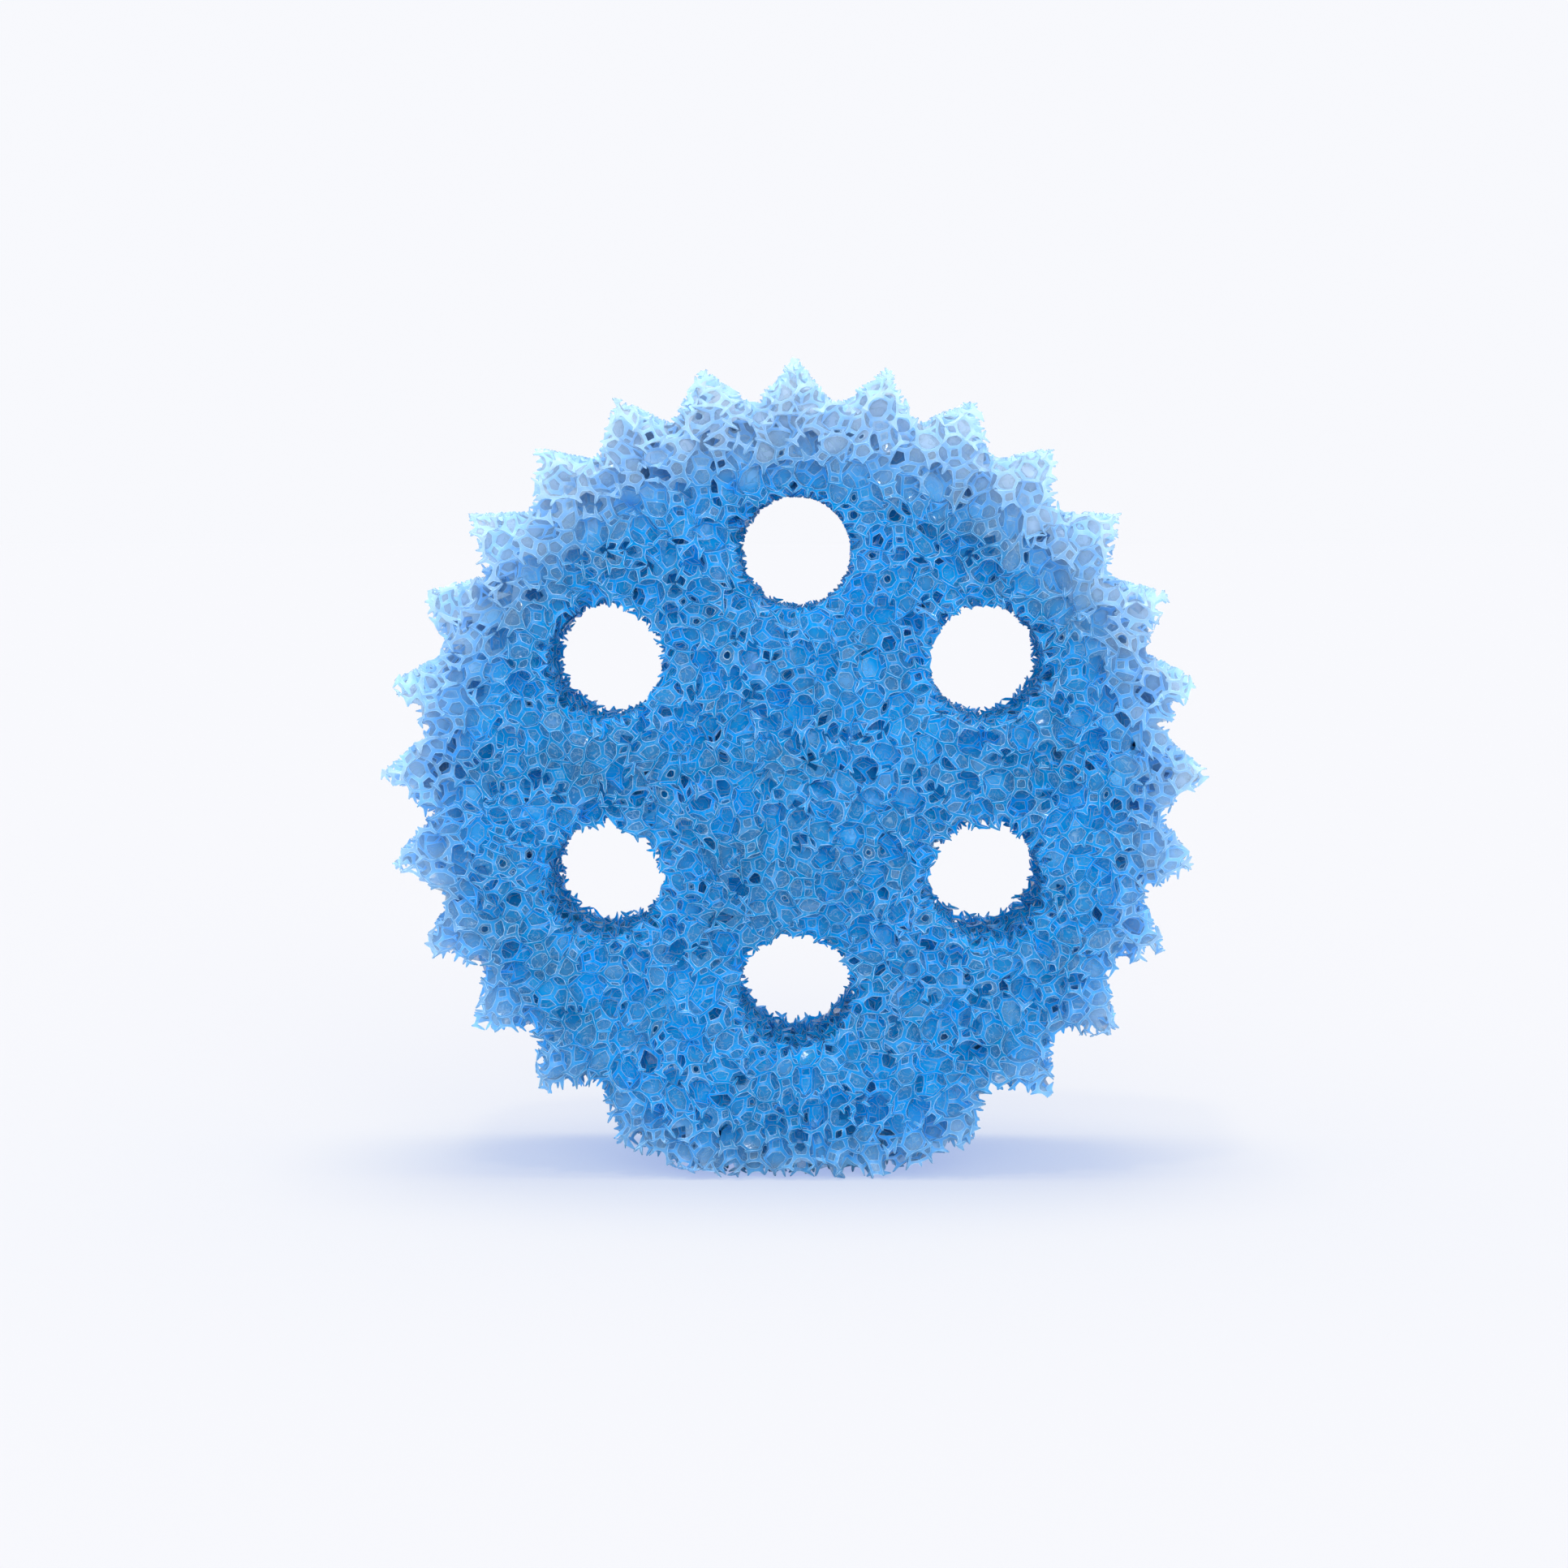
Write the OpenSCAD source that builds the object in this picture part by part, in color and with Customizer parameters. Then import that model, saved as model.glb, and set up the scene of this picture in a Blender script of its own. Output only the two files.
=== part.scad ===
/* [Foam body] */
// Radius over the tooth tips and the plain foot
body_r = 52.5; // [48:0.5:60]
// Thickness between the two flat faces
body_t = 38; // [30:1:46]
// Width of the small flat that the sponge stands on
foot_w = 20; // [14:1:24]

/* [Toothed rim] */
// Tooth places in the full circle, counting those left plain at the foot
tooth_count = 28; // [24:2:32]
// Depth of each notch, from tip to floor
notch_depth = 5; // [3:0.5:7]
// Width of a tooth at its blunt tip
tip_w = 2; // [1:0.25:3]
// Radius of the rounded notch floor
notch_floor_r = 0.6; // [0.3:0.1:1]
// Notches left out on each side of the foot
plain_notches = 2; // [2:1:4]

/* [Finger holes] */
// Holes in the ring
hole_count = 6; // [4:1:7]
// Diameter of each hole
hole_d = 14; // [10:0.5:16]
// Radius of the circle through the hole centres
hole_ring_r = 28; // [26:0.5:30]

/* [Open cells] */
// Width of a cut cell across its corners
cell_w = 4.8; // [4:0.2:5.2]
// Depth of the deepest cut cells
cell_depth = 3.5; // [1:0.25:4]
// Mean distance from one cut cell to the next
cell_pitch = 5.8; // [5.6:0.1:7]
// Least wall left between a cut cell and any edge
cell_wall = 0.5; // [0.3:0.1:1]

/* [Hidden] */

round_fn = 128;
floor_fn = 24;
notch_pitch = 360 / tooth_count;
notch_root_r = body_r - notch_depth;
centre_h = sqrt(pow(body_r, 2) - pow(foot_w / 2, 2));

// A notch's sides run between two teeth, so its mouth is what the tips leave of one tooth place.
mouth_half = body_r * sin(notch_pitch / 2) - tip_w / 2;
mouth_r = body_r * cos(notch_pitch / 2);
// How far past the surface the cutting shapes reach
overcut = 2;

// A cut cell has from five sides up, as the cells of real foam have. Its width and depth differ too.
fewest_sides = 5;
side_choices = 3;
size_choices = 4;
smallest_share = 0.82;
depth_choices = 5;
shallowest_share = 0.6;
// Seeds lie on a spiral of equal areas, turned by the golden angle from one to the next.
golden_angle = 180 * (3 - sqrt(5));
spiral_step = cell_pitch * sqrt(sqrt(3) / (2 * PI));
cell_reach = notch_root_r - cell_wall - cell_w / 2;
cell_seeds = floor(pow(cell_reach / spiral_step, 2));

function polar(r, a) = [r * cos(a), r * sin(a)];
function hole_place(k) = polar(hole_ring_r, 90 + k * 360 / hole_count);
function seed_place(i) = polar(spiral_step * sqrt(i + 0.5), i * golden_angle);
function hole_distance(p) = min([for (k = [0 : hole_count - 1]) norm(p - hole_place(k))]);
function clear_of_holes(p) = hole_distance(p) > (hole_d + cell_w) / 2 + cell_wall;
function share_of(i, choices, least) = least + (1 - least) * (i % choices) / (choices - 1);
function depth_of(i) = cell_depth * share_of(i, depth_choices, shallowest_share);

// One notch, drawn on the +X side of the disc: two straight sides and a round floor.
module notch() {
    flank = atan2(mouth_half - notch_floor_r, mouth_r - notch_root_r - notch_floor_r);
    touch = polar(notch_floor_r, 90 + flank);
    floor_x = notch_root_r + notch_floor_r;
    reach = (body_r + overcut - mouth_r) * tan(flank) + mouth_half;
    translate([floor_x, 0])
        circle(r = notch_floor_r, $fn = floor_fn);
    polygon([
        [floor_x + touch.x, touch.y],
        [mouth_r, mouth_half],
        [body_r + overcut, reach],
        [body_r + overcut, -reach],
        [mouth_r, -mouth_half],
        [floor_x + touch.x, -touch.y]
    ]);
}

// The notches go all the way round but for the plain foot at the bottom.
module toothed_rim() {
    first = plain_notches + 0.5;
    for (k = [0 : tooth_count - 2 * plain_notches - 1])
        rotate(270 + (first + k) * notch_pitch)
            notch();
}

module finger_holes() {
    for (k = [0 : hole_count - 1])
        translate(hole_place(k))
            circle(d = hole_d, $fn = round_fn);
}

// The cut-out as seen from the front, with its foot flat on the ground line.
module outline() {
    difference() {
        circle(r = body_r, $fn = round_fn);
        toothed_rim();
        finger_holes();
        translate([-body_r, -body_r - centre_h])
            square([2 * body_r, body_r]);
    }
}

// One cut cell, with its floor at the origin's height
module cut_cell(i) {
    cut_w = cell_w * share_of(i, size_choices, smallest_share);
    rotate(i * golden_angle / 2)
        cylinder(d = cut_w, h = depth_of(i) + overcut, $fn = fewest_sides + i % side_choices);
}

// Cells that the cut opened on the front face
module cut_cells() {
    for (i = [0 : cell_seeds - 1])
        if (clear_of_holes(seed_place(i)))
            translate([each seed_place(i), body_t / 2 - depth_of(i)])
                cut_cell(i);
}

module sponge() {
    color([0.16, 0.5, 0.84])
    translate([0, 0, centre_h])
    rotate([90, 0, 0])
    difference() {
        linear_extrude(body_t, center = true)
            outline();
        cut_cells();
        mirror([0, 0, 1])
            cut_cells();
    }
}

sponge();
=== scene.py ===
"""A round scouring sponge of coarse open-cell foam, standing on its rim on a pale floor."""

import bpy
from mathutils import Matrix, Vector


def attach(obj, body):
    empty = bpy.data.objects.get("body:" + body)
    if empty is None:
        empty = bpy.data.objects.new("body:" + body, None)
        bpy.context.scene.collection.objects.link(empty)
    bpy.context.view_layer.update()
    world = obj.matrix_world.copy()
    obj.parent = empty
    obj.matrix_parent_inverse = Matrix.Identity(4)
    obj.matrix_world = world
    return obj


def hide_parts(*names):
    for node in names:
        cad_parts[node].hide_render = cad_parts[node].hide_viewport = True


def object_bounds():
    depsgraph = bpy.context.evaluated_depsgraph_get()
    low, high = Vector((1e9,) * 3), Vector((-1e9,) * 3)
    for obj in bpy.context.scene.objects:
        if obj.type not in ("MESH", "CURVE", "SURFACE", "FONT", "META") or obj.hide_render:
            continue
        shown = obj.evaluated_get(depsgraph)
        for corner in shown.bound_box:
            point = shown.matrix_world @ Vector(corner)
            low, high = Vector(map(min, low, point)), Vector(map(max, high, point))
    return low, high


bl_info = {
    "name": "Open Cell Foam Sponge",
    "version": (1, 0, 0),
    "blender": (4, 5, 0),
    "location": "View3D > Sidebar > Sponge",
    "description": "Builds a toothed round sponge of open-cell foam with finger holes, and its stage",
    "category": "Add Mesh",
}

import math
from collections import namedtuple
from functools import lru_cache
from typing import NamedTuple

import bmesh
import bpy
import numpy as np
from bpy.props import FloatProperty, FloatVectorProperty, IntProperty, PointerProperty
from mathutils import Euler, Vector
from mathutils.kdtree import KDTree

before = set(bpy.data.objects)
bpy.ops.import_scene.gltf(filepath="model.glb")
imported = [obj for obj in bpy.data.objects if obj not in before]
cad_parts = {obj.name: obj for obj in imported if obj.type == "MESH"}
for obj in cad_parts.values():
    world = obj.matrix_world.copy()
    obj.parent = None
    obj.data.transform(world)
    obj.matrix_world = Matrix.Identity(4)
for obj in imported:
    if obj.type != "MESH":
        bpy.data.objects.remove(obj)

# The solid that the foam stands for, and its box
NODE = "sponge"
BODY = "root"
CAD_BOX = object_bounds()
LOW, HIGH = CAD_BOX
RADIUS = (HIGH[0] - LOW[0]) / 2
THICKNESS = HIGH[1] - LOW[1]
# The foot is flat, so the disc's centre is a little nearer the ground than its radius.
CENTRE_HEIGHT = HIGH[2] - RADIUS

# The sizes and colours that a user may change

COLOUR = {"size": 3, "subtype": "COLOR", "min": 0.0, "max": 1.0}
SHARE = {"subtype": "FACTOR", "min": 0.0, "max": 1.0}


class SpongeShape(bpy.types.PropertyGroup):
    """The cut-out's size, seen from the front."""

    tooth_count: IntProperty(
        name="Tooth places",
        description="Places for teeth in the full circle, counting those left plain at the foot",
        default=28,
        min=12,
        max=40,
    )
    plain_notches: IntProperty(
        name="Plain notches",
        description="Notches left out on each side of the foot",
        default=2,
        min=0,
        max=6,
    )
    notch_depth: FloatProperty(
        name="Notch depth",
        description="Depth of each notch, from tip to floor",
        default=0.005,
        unit="LENGTH",
    )
    tip_width: FloatProperty(
        name="Tip width",
        description="Width of a tooth at its blunt tip",
        default=0.002,
        unit="LENGTH",
    )
    notch_floor: FloatProperty(
        name="Notch floor",
        description="Radius of the rounded notch floor",
        default=0.0006,
        unit="LENGTH",
    )
    hole_count: IntProperty(
        name="Finger holes",
        description="Holes in the ring",
        default=6,
        min=0,
        max=8,
    )
    hole_radius: FloatProperty(
        name="Hole radius",
        description="Radius of each finger hole",
        default=0.007,
        unit="LENGTH",
    )
    hole_ring: FloatProperty(
        name="Hole ring",
        description="Radius of the circle through the hole centres",
        default=0.028,
        unit="LENGTH",
    )


class FoamCells(bpy.types.PropertyGroup):
    """The size and chance of the foam's cells and strands."""

    cell_width: FloatProperty(
        name="Cell width",
        description="Width of a ball that holds as much as a mean cell",
        default=0.00402,
        unit="LENGTH",
    )
    unevenness: FloatProperty(
        name="Unevenness",
        description="How far cell centres stray from an even packing, as a share of its pitch",
        default=0.17,
        subtype="FACTOR",
        min=0.0,
        max=0.3,
    )
    strand_radius: FloatProperty(
        name="Strand radius",
        description="From a strand's axis to one of its three ridges, at its waist",
        default=0.00023,
        unit="LENGTH",
    )
    joint_radius: FloatProperty(
        name="Joint radius",
        description="From a joint of four strands to the corner of a window beside it",
        default=0.0004,
        unit="LENGTH",
    )
    film_share: FloatProperty(
        name="Closed windows",
        description="Share of the windows that kept a thin film",
        default=0.92,
        **SHARE,
    )
    rim_share: FloatProperty(
        name="Partly open windows",
        description="Share of the windows that kept a rim of film round a hole",
        default=0.06,
        **SHARE,
    )
    fine_depth: FloatProperty(
        name="Fine depth",
        description="Strands nearer the surface than this get a waist",
        default=0.0017,
        unit="LENGTH",
    )
    hidden_depth: FloatProperty(
        name="Hidden depth",
        description="Cells that lie deeper than this on all sides aren't built",
        default=0.002,
        unit="LENGTH",
    )
    seed: IntProperty(
        name="Seed",
        description="Starting number of the chance placing",
        default=11,
    )


class FoamColours(bpy.types.PropertyGroup):
    """Colours of the foam."""

    strand: FloatVectorProperty(
        name="Strands",
        description="Colour of the thick parts of the strands",
        default=(0.0, 0.28, 0.63),
        **COLOUR,
    )
    # A painted highlight: pale lines along the strands' ridges round each window. The same colour
    # tints the painted glints on the wrinkles and round the holes in films.
    ridge_highlight: FloatVectorProperty(
        name="Painted ridge highlights",
        description="Colour of the strands' thin ridges round each window",
        default=(0.5, 0.77, 0.95),
        **COLOUR,
    )
    film: FloatVectorProperty(
        name="Films",
        description="Colour of the films across closed windows",
        default=(0.045, 0.3, 0.68),
        **COLOUR,
    )
    # Also the colour that all foam leans to below the flat faces: painted light that stands for light
    # coming through the foam.
    deep: FloatVectorProperty(
        name="Depths",
        description="Colour of the windows deep in the foam",
        default=(0.0, 0.42, 0.93),
        **COLOUR,
    )
    # Painted light: all foam near the rim, and more so near the top, leans to this pale colour, which
    # stands for light coming through the thin teeth and from above.
    thin: FloatVectorProperty(
        name="Painted rim light colour",
        description="Colour that all foam near the rim leans to, where light comes through",
        default=(0.62, 0.77, 0.93),
        **COLOUR,
    )


class StageLook(bpy.types.PropertyGroup):
    """The floor, the lamps and the camera."""

    floor_colour: FloatVectorProperty(
        name="Floor",
        description="Colour with which the floor lights the sponge",
        default=(0.6, 0.61, 0.64),
        **COLOUR,
    )
    seen_floor: FloatVectorProperty(
        name="Lit share of the floor",
        description="The part of the floor's colour that shadows darken",
        default=(0.41, 0.34, 0.15),
        **COLOUR,
    )
    floor_glow: FloatVectorProperty(
        name="Even share of the floor",
        description="The part of the floor's colour that shadows leave",
        default=(0.35, 0.45, 0.76),
        **COLOUR,
    )
    backdrop_colour: FloatVectorProperty(
        name="Backdrop",
        description="Colour of the room as the camera sees it",
        default=(0.937, 0.945, 0.982),
        **COLOUR,
    )
    room_colour: FloatVectorProperty(
        name="Room light",
        description="Colour of the light that comes from all round",
        default=(0.74, 0.76, 0.8),
        **COLOUR,
    )
    overhead: FloatProperty(
        name="Overhead lamp",
        description="Strength of the broad lamp above",
        default=1.5,
        min=0.0,
    )
    front: FloatProperty(
        name="Front lamp",
        description="Strength of the broad lamp in front",
        default=1.7,
        min=0.0,
    )
    key: FloatProperty(
        name="Small lamp",
        description="Strength of the small overhead lamp that makes the glints",
        default=0.35,
        min=0.0,
    )
    camera_distance: FloatProperty(
        name="Camera distance",
        description="From the lens to the front face",
        default=0.47,
        unit="LENGTH",
    )
    lens: FloatProperty(
        name="Lens",
        description="Focal length on a sensor 36 mm wide",
        default=86.0,
    )


# The cells
# Their corners, seen from a cell, are the faces of a hull round its neighbours' places turned
# inside out, so a hull of each cell gives all the corners where four cells meet.

# How many of its nearest cells may touch a cell
NEIGHBOURS = 45
# The even packing's turn, in radians: none of its layers lies along a cut face
PACKING_TURN = (0.35, 0.61, 0.22)
# In cell widths outside the cut surface: where cell centres end, and where corners end
PACKING_MARGIN = 3
CORNER_MARGIN = 1.2
# Brings places that are turned inside out down to a size that suits the hull tool
HULL_SCALE = 1e-3
# How a joint's corners lie: their lean to the middle of their window against that along the
# strands, the spread of their size by chance, and their greatest share of the shortest strand
WINDOW_LEAN = 0.6
JOINT_SPREAD = (0.85, 1.2)
STRAND_REACH = 0.7
# The greatest share of the way to a window's middle that a joint's corner or a ridge takes
WINDOW_REACH = 0.5
# How far a joint lies under the cut surface at least, as a share of its size
JOINT_COVER = 0.9
# A vector this short has no direction.
TINY = 1e-12

# For a corner's four cells, in rising order: the six windows, each between two of the cells
WINDOWS = np.array([(0, 1), (0, 2), (0, 3), (1, 2), (1, 3), (2, 3)])
# The two cells that are not beside each window
OTHERS = np.array([[k for k in range(4) if k not in pair] for pair in WINDOWS.tolist()])
# For each cell left out, the windows of the strand between the other three, opposite each in turn
STRAND_WINDOWS = np.array([(5, 4, 3), (5, 2, 1), (4, 2, 0), (3, 1, 0)])
# The three windows beside each cell
CELL_WINDOWS = np.array([(0, 1, 2), (0, 3, 4), (1, 3, 5), (2, 4, 5)])


class Foam(NamedTuple):
    """The foam's joints, the windows round them and the strands between them.

    Each joint has six corners, in six windows, and its depth. It is held where the cut leaves it
    whole, and shown where it can also be seen. Each window has its centre and how many of its two
    cells are hidden. Each strand has two joints, and at each joint one of four cells is left out.
    """

    joints: np.ndarray
    corners: np.ndarray
    depth: np.ndarray
    held: np.ndarray
    shown: np.ndarray
    windows: np.ndarray
    centres: np.ndarray
    hidden_sides: np.ndarray
    right_hand: np.ndarray
    first: np.ndarray
    second: np.ndarray
    first_out: np.ndarray
    second_out: np.ndarray


def unit(vectors):
    """The vectors' directions."""
    return vectors / np.maximum(np.linalg.norm(vectors, axis=-1, keepdims=True), TINY)


def depth_in_foam(points, shape):
    """How far each point lies inside the cut surface, in metres, negative outside it."""
    x, y, z = points[:, 0], points[:, 1], points[:, 2] - CENTRE_HEIGHT
    away = np.hypot(x, z)
    depth = np.minimum(THICKNESS / 2 - np.abs(y), RADIUS - away)
    depth = np.minimum(depth, points[:, 2])
    depth = np.minimum(depth, depth_beside_notches(x, z, away, shape))
    for k in range(shape.hole_count):
        angle = math.pi / 2 + k * math.tau / shape.hole_count
        hole_x, hole_z = shape.hole_ring * math.cos(angle), shape.hole_ring * math.sin(angle)
        depth = np.minimum(depth, np.hypot(x - hole_x, z - hole_z) - shape.hole_radius)
    return depth


def depth_beside_notches(x, z, away, shape):
    """How far each point lies from the nearest notch's flank or floor."""
    pitch = math.tau / shape.tooth_count
    turn = np.mod(np.arctan2(z, x) + math.pi / 2, math.tau)
    place = np.floor(turn / pitch)
    place = np.clip(place, shape.plain_notches, shape.tooth_count - 1 - shape.plain_notches)
    off = turn - (place + 0.5) * pitch
    along, across = away * np.cos(off), np.abs(away * np.sin(off))
    root = RADIUS - shape.notch_depth
    mouth_half = RADIUS * math.sin(pitch / 2) - shape.tip_width / 2
    mouth = RADIUS * math.cos(pitch / 2)
    flank = math.atan2(mouth_half - shape.notch_floor, mouth - root - shape.notch_floor)
    sideways = (across - shape.notch_floor) * math.cos(flank) - (along - root) * math.sin(flank)
    return np.maximum(sideways, root - along)


def cell_seeds(shape, cells):
    """Cell centres near the foam: an even packing, turned off the cut faces and shaken."""
    rng = np.random.default_rng(cells.seed)
    volume = math.pi / 6 * cells.cell_width**3
    pitch = (2 * volume) ** (1 / 3)
    reach = int(2 * RADIUS / pitch) + 2
    steps = np.arange(-reach, reach + 1) * pitch
    grid = np.stack(np.meshgrid(steps, steps, steps, indexing="ij"), -1).reshape(-1, 3)
    grid = np.concatenate([grid, grid + pitch / 2])
    turned = grid @ np.array(Euler(PACKING_TURN).to_matrix()).T
    turned += (0, 0, CENTRE_HEIGHT)
    turned = turned[depth_in_foam(turned, shape) > -PACKING_MARGIN * cells.cell_width]
    return turned + rng.normal(0, cells.unevenness * pitch, turned.shape)


def cell_corners(seeds, inner):
    """The four cells round each corner of the inner cells, in rising order, once each."""
    tree = KDTree(len(seeds))
    for i, seed in enumerate(seeds):
        tree.insert(seed, i)
    tree.balance()
    found = []
    for i in inner:
        near = np.array([hit[1] for hit in tree.find_n(seeds[i], NEIGHBOURS + 1)[1:]])
        way = seeds[near] - seeds[i]
        hull = bmesh.new()
        for place in way / (way * way).sum(1, keepdims=True) * HULL_SCALE:
            hull.verts.new(place)
        bmesh.ops.convex_hull(hull, input=hull.verts, use_existing_faces=False)
        hull.verts.index_update()
        sides = near[[[v.index for v in face.verts] for face in hull.faces]]
        found.append(np.column_stack([np.full(len(sides), i), sides]))
        hull.free()
    return np.unique(np.sort(np.concatenate(found), 1), axis=0)


def corner_places(seeds, corners):
    """The point as far from all four cells of each corner."""
    first = seeds[corners[:, 0]]
    ways = seeds[corners[:, 1:]] - first[:, None]
    return first + np.linalg.solve(2 * ways, (ways**2).sum(2)[..., None])[..., 0]


def strands_between(corners):
    """Which corners share three cells: (first, second, the cell each leaves out)."""
    triples = np.concatenate([np.delete(corners, k, axis=1) for k in range(4)])
    owner = np.tile(np.arange(len(corners)), 4)
    left_out = np.repeat(np.arange(4), len(corners))
    order = np.lexsort(triples.T)
    triples, owner, left_out = triples[order], owner[order], left_out[order]
    same = np.flatnonzero((triples[1:] == triples[:-1]).all(1))
    return owner[same], owner[same + 1], left_out[same], left_out[same + 1]


def even_out(places, first, second, free, rounds=24, pull=0.12):
    """Moves the corners so that no strand is much shorter than the rest, as film tension does."""
    places = places.copy()
    for _ in range(rounds):
        way = places[second] - places[first]
        length = np.linalg.norm(way, axis=1, keepdims=True)
        push = way * (pull * (length - np.median(length)) / np.maximum(length, TINY))
        for axis in range(3):
            total = np.bincount(first, push[:, axis], len(places))
            total -= np.bincount(second, push[:, axis], len(places))
            places[:, axis] += np.where(free, total, 0)
    return places


@lru_cache(maxsize=1)
def grown_foam(shape, cells):
    """The foam of these settings, grown once for the strands and the films alike."""
    seeds = cell_seeds(shape, cells)
    inner = np.flatnonzero(depth_in_foam(seeds, shape) > -CORNER_MARGIN * cells.cell_width)
    corners = cell_corners(seeds, inner)
    first, second, first_out, second_out = strands_between(corners)
    beside = np.full(corners.shape, -1)
    beside[first, first_out] = second
    beside[second, second_out] = first
    whole = (beside >= 0).all(1)
    joints = even_out(corner_places(seeds, corners), first, second, whole)
    depth = depth_in_foam(joints, shape)
    held = whole & (depth > JOINT_COVER * cells.joint_radius)

    # Cells that lie deep in the foam on all sides can't be seen, and aren't built.
    least = np.full(len(seeds), np.inf)
    np.minimum.at(least, corners.ravel(), np.repeat(depth, 4))
    hidden = least > cells.hidden_depth

    pairs = corners[:, WINDOWS]
    codes = pairs[..., 0] * len(seeds) + pairs[..., 1]
    codes, windows = np.unique(codes, return_inverse=True)
    windows = windows.reshape(-1, len(WINDOWS))
    centres = window_means(windows, joints)
    return Foam(
        joints=joints,
        corners=joint_corners(joints, joints[beside], centres[windows], cells),
        depth=depth,
        held=held,
        shown=held & ~hidden[corners].all(1),
        windows=windows,
        centres=centres,
        hidden_sides=hidden[codes // len(seeds)].astype(int) + hidden[codes % len(seeds)],
        right_hand=np.linalg.det(seeds[corners[:, 1:]] - seeds[corners[:, :1]]) > 0,
        first=first,
        second=second,
        first_out=first_out,
        second_out=second_out,
    )


def window_means(windows, joints):
    """The middle of each window."""
    count = np.bincount(windows.ravel())
    spread = np.repeat(joints, windows.shape[1], axis=0)
    return np.stack([np.bincount(windows.ravel(), spread[:, k]) / count for k in range(3)], 1)


def joint_corners(joints, neighbours, middles, cells):
    """The six corners of each joint, one in each window that meets there."""
    rng = np.random.default_rng(cells.seed + 1)
    strand = neighbours - joints[:, None]
    shortest = np.linalg.norm(strand, axis=2).min(1)
    way = unit(strand)
    inwards = middles - joints[:, None]
    lean = way[:, OTHERS[:, 0]] + way[:, OTHERS[:, 1]] + WINDOW_LEAN * unit(inwards)
    room = np.linalg.norm(inwards, axis=2, keepdims=True)
    size = cells.joint_radius * rng.uniform(*JOINT_SPREAD, len(joints))
    size = np.minimum(size, STRAND_REACH * shortest)[:, None, None]
    return joints[:, None] + unit(lean) * np.minimum(size, WINDOW_REACH * room)


# The strands

# They are shown in this many wedges, to keep each mesh to a fair size.
WEDGES = 6
# Where a strand's waist lies along it
WAIST = 0.5
# Short strands are thicker: by the root of the usual length over theirs, which stays within these
STOUTNESS = (0.8, 1.5)
# How a strand's thickness varies by chance, as a share of it
STRAND_SPREAD = (0.85, 1.15)
# How much of the way to the cut surface a cut strand keeps, by chance
CUT_SPREAD = (0.8, 1.0)
# A cut strand shorter than this, in joint radii, gets a flat end on the joint itself.
SHORTEST_STUB = 0.9
# Where a longer one has its ring of ridges, along it, and its tip's share of the strand's radius
STUB_RING = 0.62
TIP_SHARE = 0.42
# Each face carries two numbers at its corners: the shares of two of its strand's three ridges.
MARK_MAP = "Ridge marks"
SIDE_MARKS = np.array([(1, 0), (0, 1), (0, 1), (1, 0)], float)
CORNER_MARKS = np.array([(1, 0), (0, 1), (0, 0)], float)
CUT_MARKS = np.array([(0.5, 0.5)] * 3)


class Whole(NamedTuple):
    """The whole strands: their joints, their windows, and which ones lie near the surface."""

    first: np.ndarray
    second: np.ndarray
    first_windows: np.ndarray
    second_windows: np.ndarray
    windows: np.ndarray
    fine: np.ndarray
    turned: np.ndarray


def whole_strands(foam, cells):
    """The strands between two shown joints."""
    kept = foam.shown[foam.first] & foam.shown[foam.second]
    first, second = foam.first[kept], foam.second[kept]
    first_windows = STRAND_WINDOWS[foam.first_out[kept]]
    second_windows = STRAND_WINDOWS[foam.second_out[kept]]
    windows = np.take_along_axis(foam.windows[first], first_windows, 1)
    fine = np.minimum(foam.depth[first], foam.depth[second]) < cells.fine_depth
    turned = strand_turned(foam, first, foam.first_out[kept])
    return Whole(first, second, first_windows, second_windows, windows, fine, turned)


def strand_turned(foam, joints, left_out):
    """Whether a strand's windows run leftward as seen along it from the joint, so that faces on
    them have to be turned to look outwards. It follows from the order of the four cells there."""
    return foam.right_hand[joints] == (left_out % 2 == 1)


def wedge(points):
    """Which of the foam's wedges each point lies in."""
    turn = np.arctan2(points[:, 2] - CENTRE_HEIGHT, points[:, 0]) / math.tau
    return np.floor(np.mod(turn, 1) * WEDGES).astype(int) % WEDGES


def square_to(vectors, axis):
    """The share of the vectors that lies square to the axis."""
    return vectors - (vectors * axis).sum(-1, keepdims=True) * axis


def ridge_ring(foam, windows, start, end, place, radius):
    """Three points round a strand's axis, one in each of its windows."""
    axis = unit(end - start)[:, None]
    centre = (start + (end - start) * place)[:, None]
    way = square_to(foam.centres[windows] - centre, axis)
    room = np.linalg.norm(way, axis=2, keepdims=True)
    return centre + unit(way) * np.minimum(radius[:, None, None], WINDOW_REACH * room)


def cut_share(start, end, shape, rounds=12):
    """How far along each line the cut surface lies, by halving."""
    low, high = np.zeros(len(start)), np.ones(len(start))
    for _ in range(rounds):
        share = (low + high) / 2
        inside = depth_in_foam(start + (end - start) * share[:, None], shape) > 0
        low, high = np.where(inside, share, low), np.where(inside, high, share)
    return low


def marked_faces(faces, pattern, turned):
    """The faces and their marks, in the other order where they are turned."""
    faces = faces.copy()
    marks = np.broadcast_to(pattern, (*faces.shape, 2)).copy()
    faces[turned] = faces[turned][:, ::-1]
    marks[turned] = marks[turned][:, ::-1]
    return faces, marks


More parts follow.
